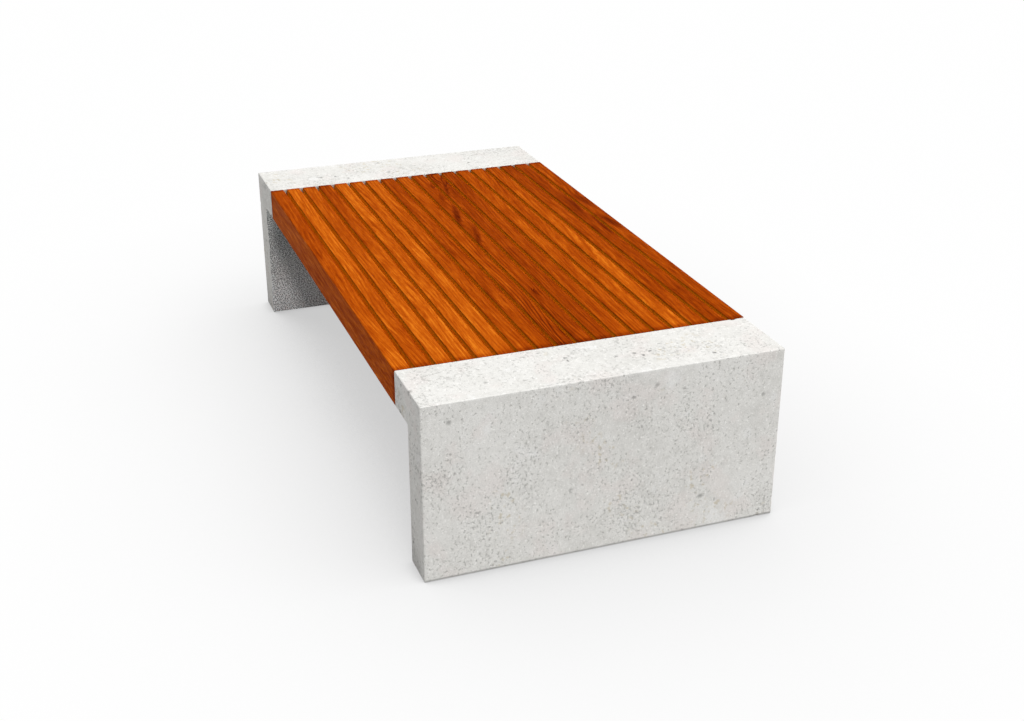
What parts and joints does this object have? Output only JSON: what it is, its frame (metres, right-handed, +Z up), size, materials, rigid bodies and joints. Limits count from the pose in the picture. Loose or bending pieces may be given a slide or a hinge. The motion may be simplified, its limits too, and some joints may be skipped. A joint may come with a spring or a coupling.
{
  "type": "bench",
  "caption": "Wide backless garden bench: inverted-L precast concrete end supports with hardwood slats on edge between them, flush with their tops and sides.",
  "frame": {"origin": "on the ground under the middle of the bench", "axes": "+X along the bench towards end a, +Y across it, +Z up"},
  "size_m": [1.8, 0.9, 0.45],
  "materials": {
    "concrete": "matte",
    "hardwood": "satin",
    "galvanised_steel": "matte",
    "fastener_steel": "satin",
    "socket_steel": "satin",
    "reinforcing_steel": "matte"
  },
  "bodies": {
    "root": {"concrete_support_a": "concrete", "concrete_support_b": "concrete", "ledge_plate_a": "galvanised_steel", "ledge_plate_b": "galvanised_steel", "cross_bearer_a": "galvanised_steel", "cross_bearer_b": "galvanised_steel", "plate_bolts_a": "fastener_steel", "plate_bolts_b": "fastener_steel", "plate_washers_a": "fastener_steel", "plate_washers_b": "fastener_steel", "plate_sockets_a": "socket_steel", "plate_sockets_b": "socket_steel", "ground_sockets_a": "socket_steel", "ground_sockets_b": "socket_steel", "plate_slat_screws_a": "fastener_steel", "plate_slat_screws_b": "fastener_steel", "plate_slat_washers_a": "fastener_steel", "plate_slat_washers_b": "fastener_steel", "bearer_slat_screws_a": "fastener_steel", "bearer_slat_screws_b": "fastener_steel", "bearer_slat_washers_a": "fastener_steel", "bearer_slat_washers_b": "fastener_steel", "rebar_main_bars_a": "reinforcing_steel", "rebar_main_bars_b": "reinforcing_steel", "rebar_tie_bars_a": "reinforcing_steel", "rebar_tie_bars_b": "reinforcing_steel", "slat_01": "hardwood", "slat_02": "hardwood", "slat_03": "hardwood", "slat_04": "hardwood", "slat_05": "hardwood", "slat_06": "hardwood", "slat_07": "hardwood", "slat_08": "hardwood", "slat_09": "hardwood", "slat_10": "hardwood", "slat_11": "hardwood", "slat_12": "hardwood", "slat_13": "hardwood", "slat_14": "hardwood", "slat_15": "hardwood", "slat_16": "hardwood", "slat_17": "hardwood", "slat_18": "hardwood"}
  },
  "joints": []
}
